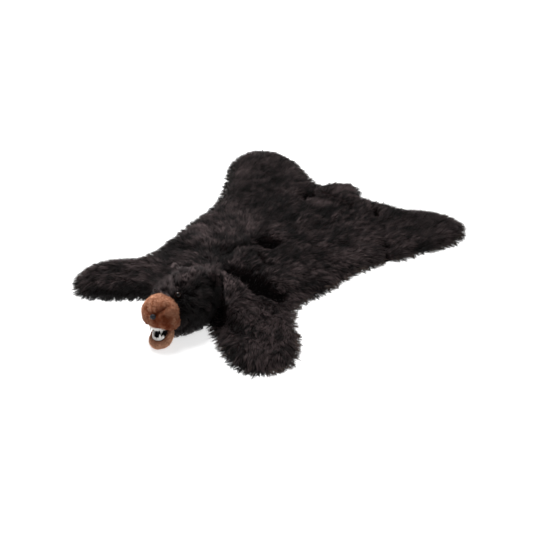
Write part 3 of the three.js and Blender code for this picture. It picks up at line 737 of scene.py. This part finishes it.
def strand_paths(roots, normals, heading, coat, rng, sections, stands=0.0, trim=1.0):
    """Each strand's centre line from root to tip, its sideways direction and its clump's shade."""
    count = len(roots)
    clump, clumps = clumps_of(roots, coat["clump"] * MM, rng)
    tuft, tufts = clumps_of(roots, TUFT * MM, rng)
    turn = coat["turn"][0] * rng.normal(size=tufts)[tuft]
    turn += coat["turn"][1] * rng.normal(size=clumps)[clump] + coat["turn"][2] * rng.normal(size=count)
    lay = turned(along_surface(heading, normals), normals, np.radians(turn))
    length = coat["length"] * MM * (1 + coat["vary"] * rng.normal(size=count)).clip(0.5, 1.4)
    length *= trim * (1 + 0.15 * rng.normal(size=clumps)[clump].clip(-1.5, 1.5))
    stands = stands + 4 * rng.normal(size=tufts)[tuft] + 4 * rng.normal(size=clumps)[clump]
    stands += 5 * rng.normal(size=count)
    path = [roots]
    for k in range(sections):
        part = k / max(sections - 1, 1)
        lean = coat["lean"][0] * (1 - part) + coat["lean"][1] * part + stands * (1 - 0.5 * part)
        lean = np.radians(np.maximum(lean, 2))[:, None]
        step = length[:, None] / sections * (np.cos(lean) * lay + np.sin(lean) * normals)
        path.append(path[-1] + step)
    path = np.stack(path, 1)
    members = np.maximum(np.bincount(clump, minlength=clumps), 1)
    middle = np.stack([np.bincount(clump, path[:, -1, k], clumps) / members for k in range(3)], 1)
    for k in range(1, sections + 1):
        pull = coat["gather"] * (k / sections) ** 1.5
        path[:, k] += pull * (middle[clump] - path[:, -1])
    path[:, :, 2] = np.maximum(path[:, :, 2], (0.5 + 1.5 * rng.random(count))[:, None] * MM)
    shade = rng.normal(size=clumps)[clump] + 0.6 * rng.normal(size=tufts)[tuft]
    return path, unit(np.cross(lay, normals)), shade


def strand_mesh(name, path, side, width, tone):
    """Closed three-sided strands that taper to a point, as one mesh."""
    count, places = path.shape[:2]
    rings = places - 1
    across = side * (width / 2)[:, None]
    points = []
    for k in range(rings):
        taper = 1 - 0.45 * (k / rings) ** 1.5
        rise = unit(np.cross(side, path[:, k + 1] - path[:, k])) * (width * 0.42)[:, None]
        points += [path[:, k] + across * taper, path[:, k] - across * taper, path[:, k] + rise * taper]
    points.append(path[:, -1])
    points = np.stack(points, 1)
    along_ring = [k / rings for k in range(rings) for _ in range(3)] + [1.0]
    # Each corner of a face: its point, its side of the strand from -1 to 1, and its height from 0 to 1
    faces = []
    for k in range(rings):
        low, high = k / rings, (k + 1) / rings
        for s in range(3):
            left, right = (3 * k + s, -1, low), (3 * k + (s + 1) % 3, 1, low)
            above_left, above_right = (left[0] + 3, -1, high), (right[0] + 3, 1, high)
            if k + 1 < rings:
                faces += [(left, right, above_right), (left, above_right, above_left)]
            else:
                faces.append((left, right, (3 * rings, 0, 1)))
    faces = np.array(faces + [((0, -1, 0), (2, 0, 0.02), (1, 1, 0))])
    a, b, c = (points[0][faces[:, k, 0].astype(int)] for k in range(3))
    if np.einsum("ij,ij->", a, np.cross(b, c)) < 0:
        faces = faces[:, ::-1]
    faces, left_right, heights = (faces[:, :, k] for k in range(3))
    each = points.shape[1]
    every = (faces.astype(int)[None] + (np.arange(count) * each)[:, None, None]).reshape(-1, 3)
    mesh = mesh_of(name, points.reshape(-1, 3), every)
    mark(mesh, np.repeat(tone, each), np.tile(along_ring, count))
    half = 0.002  # half of a strand's width on its map, which is tone across and root to tip up
    u = half + (1 - 2 * half) * tone[:, None] + half * left_right.ravel()[None]
    v = np.broadcast_to(half + (1 - 2 * half) * heights.ravel()[None], u.shape)
    places = np.stack([u, v], 2).astype(np.float32).ravel()
    mesh.uv_layers.new(name="OFBake").uv.foreach_set("vector", places)
    return mesh


def combed(x, y):
    """The nap's level direction on the sheets, how much it stands, how light it is, partly as painted
    light, and its streaks.
    """
    total = np.zeros((len(x), 5))
    shares = np.zeros(len(x))
    for spot in NAP:
        apart = (x - spot["x"] * MM) ** 2 + (y - spot["y"] * MM) ** 2
        share = 1 / (apart + NAP_REACH**2) ** 2
        angle = math.radians(spot["towards"])
        traits = [math.cos(angle), math.sin(angle), spot["stands"], spot["light"], spot["streaks"]]
        total += share[:, None] * np.array([traits])
        shares += share
    return unit(total[:, :2]), total[:, 2] / shares, total[:, 3] / shares, total[:, 4] / shares


def sheet_heading(sheet, roots):
    """The nap with ruffles, drawn outward at the cut edge and down the sides of folds."""
    x, y = roots[:, 0], roots[:, 1]
    nap = combed(x, y)[0]
    angle = np.radians(12 + 22 * rough(y)) * lumps(x, y, SWIRLS)
    turn_x = nap[:, 0] * np.cos(angle) - nap[:, 1] * np.sin(angle)
    turn_y = nap[:, 0] * np.sin(angle) + nap[:, 1] * np.cos(angle)
    level = np.stack([turn_x, turn_y], 1)
    down = -sheet.slope(sheet.top, x, y)
    with_nap = (level * unit(down)).sum(1, keepdims=True)
    level += 1.2 * down * soft(0.5 + 1.2 * with_nap)
    out = -unit(sheet.slope(sheet.inside, x, y))
    edge = soft(1 - sheet.read(sheet.inside, x, y) / (28 * MM))[:, None]
    level = unit(level) * (1 - edge) + out * edge * 1.5
    return np.column_stack([unit(level), np.zeros(len(x))])


def sheet_tone(sheet, roots, shade, rng):
    """Light and dark patches, streaks along the nap, and painted shade in folds and along the front edge.
    """
    x, y = roots[:, 0], roots[:, 1]
    nap, _, light, streaks = combed(x, y)
    along, across = x * nap[:, 0] + y * nap[:, 1], y * nap[:, 0] - x * nap[:, 1]
    # Painted shade: deep is how far a place lies below the pile's broad height
    deep = np.clip((sheet.read(sheet.broad, x, y) - sheet.read(sheet.top, x, y)) / (9 * MM), -1, 1)
    patches = lumps(x, y, PATCHES)
    patches += DIFFER["clump"] * shade + DIFFER["streak"] * waves(along / 3, across, 9 * MM, 33)
    patches += DIFFER["strand"] * rng.normal(size=len(x))
    # Painted shade along the edge that faces the front
    facing_front = unit(sheet.slope(sheet.inside, x, y))[:, 1].clip(0, 1)
    front_edge = facing_front * soft(1.3 - sheet.read(sheet.inside, x, y) / (34 * MM))
    darker = PAINTED_SHADE["deep"] * deep + PAINTED_SHADE["front edge"] * front_edge
    # The folds' painted shade and the lumps' painted light are added last
    return (light + streaks * patches - darker + sheet.read(sheet.tint, x, y)).clip(0, 1)


def sheet_fur(sheet, mesh, count, coat, rng, weight, sections, keep=None):
    """Paths, sides, widths and tones of the strands on a sheet."""
    roots, normals = scatter(mesh, count, rng, weight)
    parted = sheet.read(sheet.bare, roots[:, 0], roots[:, 1])
    free = rng.random(count) > 0.9 * soft((parted - 0.25) / 0.35)
    if keep is not None:
        free &= keep(roots)
    roots, normals = roots[free], normals[free]
    x, y = roots[:, 0], roots[:, 1]
    stands = combed(x, y)[1] + 9 * rough(y) * waves(x, y, 31 * MM, 23)
    trim = 1 - 0.5 * sheet.read(sheet.shorn, x, y) - 0.2 * parted[free]
    heading = sheet_heading(sheet, roots)
    path, side, shade = strand_paths(roots, normals, heading, coat, rng, sections, stands, trim)
    width = coat["width"] * MM * (0.7 + 0.6 * rng.random(len(roots)))
    return path, side, width, sheet_tone(sheet, roots, shade, rng)


def under(tree, clearance):
    """A test for roots that a solid above leaves free."""
    up = Vector((0, 0, 1))

    def free(roots):
        hits = [tree.ray_cast(Vector(root), up)[0] for root in roots]
        return np.array([hit is None or hit.z - root[2] > clearance for hit, root in zip(hits, roots)])

    return free


def fur(name, rows, slot="black_fur", pile=BLACK_PILE):
    """A piece of the coat from its strands."""
    piece(name, strand_mesh(name, *rows), slot, pile)


# Pelt and tail

pelt = Sheet("pelt", FOLDS)
pelt_skin = sheet_skin("pelt", pelt)


def on_top(sheet, fringe=False):
    """Where strands grow: the skin's upper side, fewer at the cut edge, or only there for the fringe."""

    def share(middle):
        inside = sheet.read(sheet.inside, middle[:, 0], middle[:, 1])
        upper = middle[:, 2] > UNDERSIDE + 0.5 * SKIN_EDGE
        return upper * ((inside < FRINGE_REACH) if fringe else 0.45 + 0.65 * soft(inside / (26 * MM)))

    return share


clear_of_head = under(tree_of("head"), 16 * MM)
clear_of_tail = under(tree_of("tail"), 10 * MM)
rng = np.random.default_rng(5)


def free_pelt(roots):
    return clear_of_head(roots) & clear_of_tail(roots)


def in_parts(rows, names):
    """Rows of strands split into that many runs along the rug."""
    order = np.argsort(rows[0][:, 0, 1])
    return [[column[part] for column in rows] for part in np.array_split(order, len(names))]


def pelt_fur(count, coat, weight, sections):
    return sheet_fur(pelt, pelt_skin.data, STRANDS[count], COATS[coat], rng, weight, sections, free_pelt)


long_coat = pelt_fur("pelt", "pelt", on_top(pelt), 2)
undercoat = pelt_fur("pelt_under", "undercoat", on_top(pelt), 1)
for coat, rows, names in (("fur", long_coat, PELT_PARTS), ("undercoat", undercoat, PELT_PARTS[::3])):
    for part, part_rows in zip(names, in_parts(rows, names)):
        fur(f"pelt_{coat}_{part}", part_rows)
fur("pelt_fringe", pelt_fur("rim", "rim", on_top(pelt, fringe=True), 2), pile=BLACK_FRINGE)

tail = Sheet("tail")


def on_pelt(x, y):
    """The surface that the tail lies on: the pelt, or the floor beyond it."""
    pressed = np.maximum(pelt.read(pelt.top, x, y) - 3 * MM, UNDERSIDE)
    return np.where(pelt.read(pelt.inside, x, y) > 0, pressed, UNDERSIDE)


tail_skin = sheet_skin("tail", tail, on_pelt)
for name, coat, sections in (("tail", "pelt", 2), ("tail_under", "undercoat", 1)):
    rows = sheet_fur(tail, tail_skin.data, STRANDS[name], COATS[coat], rng, on_top(tail), sections)
    fur(f"{name}_fur", rows)

# Head and ears


def rolled(axis_turn=0.0):
    """The head's roll, and a turn of the muzzle within it, as three columns: left, back, up."""
    roll = Matrix.Rotation(math.radians(-HEAD_ROLL), 3, "Y")
    return np.array(roll @ Matrix.Rotation(math.radians(axis_turn), 3, "Z"))


HEAD_TURN = rolled()
MUZZLE_TURN = rolled(MUZZLE["turn"])
MUZZLE_MIDDLE = np.array(MUZZLE["place"]) * MM


def head_place(side, part):
    """A part's place, on the head's left for side 1 and on its right for side -1."""
    on_axis = np.array([HEAD_X, part["y"], HEAD_AXIS_HEIGHT]) * MM
    return on_axis + HEAD_TURN @ np.array([side * part["aside"], 0, part["up"]]) * MM


def stuffed_skin(node, slot, material):
    """A sewn and filled skin in place of a solid."""
    row = STUFFED[node]
    mesh = remeshed(node, row["step"] * MM, row["rounds"])
    shrink(mesh, row["inset"] * MM)
    stuff(mesh, row["cap"] * MM)
    skin = piece(f"{node}_skin", mesh, slot, material, node=node)
    return skin


def ruffled(roots, size, seed):
    """Disorder in the fur's direction, from three seeds in a row."""
    return np.column_stack([over(roots, [(size, 1, seed + k)]) for k in range(3)])


def near_place(apart, across):
    """1 at a place, falling to nothing about twice that many mm away."""
    return np.exp(-((apart / (across * MM)) ** 2))


def head_heading(roots, normals):
    """Backwards over the skull, down its sides, and away from the muzzle in front."""
    from_muzzle = unit(roots - MUZZLE_MIDDLE)
    near = soft(1 - np.linalg.norm(roots - MUZZLE_MIDDLE, axis=1) / 0.095)[:, None]
    beside = soft((np.abs(normals[:, 0:1]) - 0.2) / 0.4)
    flow = np.array([[0, 0.7, 0]]) + beside * np.array([[0, -0.7, -1.3]])
    flow = flow + 0.35 * (1 - 0.6 * beside) * ruffled(roots, 40, 41)
    return flow + 1.2 * near * from_muzzle


def from_eyes(points, place=EYE):
    """Distance to the nearer eye's middle, or to another place on both sides of the head."""
    return np.min([np.linalg.norm(points - head_place(side, place), axis=1) for side in (1, -1)], axis=0)


def brow(roots):
    """How much more the fur stands above and between the eyes, in degrees."""
    between = np.abs(roots[:, 0] - HEAD_X * MM) < BROW["aside"] * MM
    return BROW["stands"] * near_place(from_eyes(roots), BROW["across"]) * between


def coat_rows(mesh, heading, coat, count, rng, tone_of, sections=2, weight=None, stands=None):
    """Paths, sides, widths and tones of the strands on a stuffed skin."""
    roots, normals = scatter(mesh, count, rng, weight)
    more = stands(roots) if stands else 0.0
    path, side, shade = strand_paths(roots, normals, heading(roots, normals), coat, rng, sections, more)
    width = coat["width"] * MM * (0.7 + 0.6 * rng.random(count))
    tone = tone_of(roots, normals) + 0.12 * shade + 0.12 * rng.normal(size=count)
    return path, side, width, tone.clip(0, 1)


def joined(rows):
    return [np.concatenate(column) for column in zip(*rows)]


head_skin = stuffed_skin("head", "black_fur", BLACK_SKIN)
mark(head_skin.data, 0.2, 0.3)


def head_tone(roots, normals):
    """Like the pelt on top and in front, with painted shade down the sides, beside the muzzle and under
    and round the eyes.
    """
    sideways = soft((np.abs(normals @ HEAD_TURN[:, 0]) - 0.42) / 0.3)
    shades = HEAD_TONE_AND_PAINTED_SHADE
    tone = shades["top"] + over(roots, HEAD_PATCHES)
    by_muzzle = soft(1.6 - np.linalg.norm(roots - MUZZLE_MIDDLE, axis=1) / (56 * MM))
    # Painted shade down the head's sides and beside the muzzle, painted shadow under and round the eyes
    tone -= shades["sides"] * sideways + shades["by muzzle"] * by_muzzle * sideways
    tone -= shades["under eye"] * near_place(from_eyes(roots, PAINTED_EYE_SHADOW), PAINTED_EYE_SHADOW["across"])
    return tone - shades["round eye"] * near_place(from_eyes(roots), 17) * (roots[:, 0] > HEAD_X * MM)


muzzle_tree = tree_of("muzzle")


def head_weight(middle):
    """No fur under the head or inside the muzzle."""
    covered = np.array([muzzle_tree.find_nearest(Vector(m))[3] < 4 * MM for m in middle])
    return (middle[:, 2] > 6 * MM) * ~covered


def short(coat):
    """The straight undercoat of a coat."""
    return {**coat, "length": coat["length"] * 0.72, "lean": (coat["lean"][0] * 0.75,) * 2}


def right_brow(middle):
    """Most just inside the right eye, where a tuft covers it from the front."""
    apart = np.linalg.norm(middle - head_place(-1, BROW_TUFT), axis=1)
    return near_place(apart, BROW_TUFT["across"]) * head_weight(middle)


def head_strands(coat, count, sections, weight, stands=None):
    return coat_rows(
        head_skin.data, head_heading, coat, STRANDS[count], rng, head_tone, sections, weight, stands
    )


head_coat = COATS["head"]
head_rows = [
    head_strands(head_coat, "head", 2, head_weight, brow),
    head_strands({**head_coat, "lean": (8, 10)}, "brow", 2, right_brow),
]
fur("head_undercoat", head_strands(short(head_coat), "head_under", 1, head_weight, brow))
for side_name, side in SIDES:
    node = f"ear_{side_name}"
    ear = stuffed_skin(node, "black_fur", BLACK_SKIN)
    mark(ear.data, 0.05, 0.3)
    root_place = middle_of(node) - HEAD_TURN @ np.array([side * 24, 0, 30]) * MM

    def ear_heading(roots, _, start=root_place):
        """Away from the ear's root, and a little backwards."""
        return unit(roots - start) + np.array([[0, 0.35, 0]])

    head_rows.append(coat_rows(ear.data, ear_heading, COATS["ear"], STRANDS["ear"], rng, head_tone))
fur("head_fur", joined(head_rows))

# Muzzle and jaw


def muzzle_frame(points):
    """Places from the muzzle's middle, as left, front and up, where 1 is about its surface."""
    local = (points - MUZZLE_MIDDLE) @ MUZZLE_TURN / (MUZZLE["across"] * MM)
    return local[:, 0], -local[:, 1], local[:, 2]


def in_grooves(points):
    """How deep in the muzzle's grooves a place is, from 0 to 1."""
    place = unit(np.stack(muzzle_frame(points), 1))
    deepest = np.zeros(len(points))
    for groove in MUZZLE_GROOVES:
        start, end = (unit(np.array(groove[key], float)) for key in ("from", "to"))
        t = np.clip(((place - start) @ (end - start)) / ((end - start) @ (end - start)), 0, 1)
        apart = np.linalg.norm(place - unit(start + t[:, None] * (end - start)), axis=1)
        deepest = np.maximum(deepest, groove["share"] * np.exp(-((apart / groove["half"]) ** 2)))
    return deepest


def muzzle_tone(points, _=None):
    """Lighter on top as painted light and at the rim, painted shade in the middle and in the grooves,
    darker and redder round the nose.
    """
    left, front, up = muzzle_frame(points)
    centre = np.exp(-(((left - 0.3) / 0.48) ** 2 + ((up + 0.05) / 0.5) ** 2)) * soft(front / 0.4)
    from_nose = np.linalg.norm(points - middle_of("nose"), axis=1)
    shades = MUZZLE_TONE_AND_PAINTED_SHADE
    # Painted light on top, painted shade in the middle and in the grooves
    tone = shades["all"] + 0.05 * up - shades["centre"] * centre - shades["grooves"] * in_grooves(points)
    return tone - shades["round nose"] * near_place(from_nose, 15) + over(points, PLUSH_PATCHES)


def plush_heading(roots, _):
    """Away from the nose, with a little disorder."""
    return unit(roots - middle_of("nose")) + 0.5 * ruffled(roots, 16, 52)


muzzle_skin = stuffed_skin("muzzle", "brown_plush", BROWN_SKIN)
points, _, normals = read_mesh(muzzle_skin.data)
points -= normals * (in_grooves(points) * GROOVE_DEPTH * MM)[:, None]
move_points(muzzle_skin.data, points)
mark(muzzle_skin.data, muzzle_tone(points).clip(0, 1), 0.5)


def plush_fur(node, skin, tone_of, weight=None):
    rows = coat_rows(skin.data, plush_heading, COATS["plush"], STRANDS[node], rng, tone_of, 1, weight)
    fur(f"{node}_plush", rows, "brown_plush", BROWN_PILE)


plush_fur("muzzle", muzzle_skin, muzzle_tone)


def in_scoop(points):
    """How far inside the jaw's hollow a place is, from 0 outside to 1."""
    x = (points[:, 0] - JAW["place"][0] * MM) / (JAW["half"] * MM)
    y = (points[:, 1] - JAW["place"][1] * MM) / (JAW["along"] * MM)
    return soft((0.77 - np.hypot(x, y)) / 0.06) * (points[:, 2] > 18 * MM)


def outside_scoop(middle):
    """Where the jaw's plush grows: not in its hollow and not on the floor."""
    return (in_scoop(middle) < 0.5) * (middle[:, 2] > 3 * MM)


jaw_skin = stuffed_skin("jaw", "brown_plush", BROWN_SKIN)
jaw_skin.data.materials.append(MOUTH_CLOTH)
points = read_mesh(jaw_skin.data)[0]
middles = np.array([face.center for face in jaw_skin.data.polygons])
jaw_skin.data.polygons.foreach_set("material_index", (in_scoop(middles) > 0.5).astype(np.int32))


def jaw_tone(points, _=None):
    """Lighter outside, and light all over partly as painted light where the muzzle shades the jaw; darker
    and redder up by the lip as painted shade.
    """
    by_lip = soft((points[:, 2] - 22 * MM) / (14 * MM)) * soft((points[:, 0] - 40 * MM) / (30 * MM))
    # The high base is partly painted light in the muzzle's shade, and the darkening by the lip is painted
    # shade
    return 1.22 + over(points, [(20, 0.25, 55)]) - 0.4 * by_lip


mark(jaw_skin.data, jaw_tone(points).clip(0, 1.3), 0.5)
plush_fur("jaw", jaw_skin, jaw_tone, outside_scoop)

# Mouth, teeth, nose and eyes

for node, kind, step, slot, made_of in (
    ("mouth_lining", "cloth", 2.5, "mouth_cloth", MOUTH_CLOTH),
    ("teeth_upper", "felt", 1.1, "tooth_felt", TOOTH_FELT),
    ("teeth_lower", "felt", 1.1, "tooth_felt", TOOTH_FELT),
):
    piece(f"{node}_{kind}", remeshed(node, step * MM, 3), slot, made_of, node=node)

nose_mesh = remeshed("nose", 1.2 * MM, 4)
points = read_mesh(nose_mesh)[0]
local = (points - middle_of("nose")) @ MUZZLE_TURN / MM
for side in (1, -1):
    apart = np.hypot(local[:, 0] - side * NOSTRIL["aside"], local[:, 2] + NOSTRIL["down"])
    dent = NOSTRIL["depth"] * np.exp(-((apart / NOSTRIL["width"]) ** 2)) * (local[:, 1] < 0)
    points += np.outer(dent * MM, MUZZLE_TURN @ np.array([0, 1, 0]))
move_points(nose_mesh, points)
piece("nose_cap", nose_mesh, "nose_black", NOSE_BLACK, node="nose")

for side_name, side in SIDES:
    centre = head_place(side, EYE)
    rings, around = 24, 32
    polar = np.pi * (np.arange(rings + 1) / rings)[:, None, None]
    turn = 2 * np.pi * (np.arange(around) / around)[None, :, None]
    gaze = unit(HEAD_TURN @ np.array([side * 0.75, -0.9, 0.35]))
    across = unit(np.cross(gaze, [0, 0, 1]))
    above = np.cross(across, gaze)
    ball = np.cos(polar) * gaze + np.sin(polar) * (np.cos(turn) * across + np.sin(turn) * above)
    points = (centre + EYE["radius"] * MM * ball).reshape(-1, 3)
    i, j = (grid.ravel() for grid in np.meshgrid(np.arange(rings), np.arange(around), indexing="ij"))
    a, b = i * around + j, i * around + (j + 1) % around
    eye_mesh = mesh_of(f"eye_{side_name}_ball", points, np.stack([a, b, b + around, a + around], 1))
    off_axis = np.repeat(np.arange(rings + 1) / rings, around)
    rings_off = eye_mesh.attributes.new("off_axis", "FLOAT", "POINT")
    rings_off.data.foreach_set("value", off_axis.astype(np.float32))
    piece(f"eye_{side_name}_ball", eye_mesh, "eye_brown", EYE_BROWN, node=f"eye_{side_name}")

# Studio: a pale floor, a large soft light above and behind, and pale surroundings


def floor():
    half = FLOOR["half"]
    corners = np.array([[-half, -half, 0], [half, -half, 0], [half, half, 0], [-half, half, 0]])
    mesh = mesh_of("studio_floor", corners, np.array([[0, 1, 2, 3]]))
    made, _, shader = material("pale floor")
    grey = (FLOOR["grey"],) * 3 + (1,)
    give(shader, Base_Color=grey, Roughness=0.9, Specular_IOR_Level=0.1)
    give(shader, Emission_Color=(1, 1, 1, 1), Emission_Strength=FLOOR["glow"])
    mesh.materials.append(made)
    placed("studio_floor", mesh)


def aimed(name, data, place, aim):
    thing = placed(name, data)
    thing.location = place
    thing.rotation_euler = (Vector(aim) - Vector(place)).to_track_quat("-Z", "Y").to_euler()
    return thing


floor()
lamp = bpy.data.lights.new("key_light", "AREA")
lamp.shape = "DISK"
lamp.size = KEY_LIGHT["size"]
lamp.energy = KEY_LIGHT["watts"]
aimed("key_light", lamp, KEY_LIGHT["place"], KEY_LIGHT["aim"])
world = bpy.data.worlds.new("studio")
bpy.context.scene.world = world
world.use_nodes = True
give(world.node_tree.nodes["Background"], Color=(1, 1, 1, 1), Strength=SURROUNDINGS)
bpy.context.scene.view_settings.view_transform = "Standard"

lens = bpy.data.cameras.new("camera")
lens.lens = CAMERA["lens"]
lens.sensor_width = 36
bpy.context.scene.camera = aimed("camera", lens, CAMERA["place"], CAMERA["aim"])

bpy.context.view_layer.update()
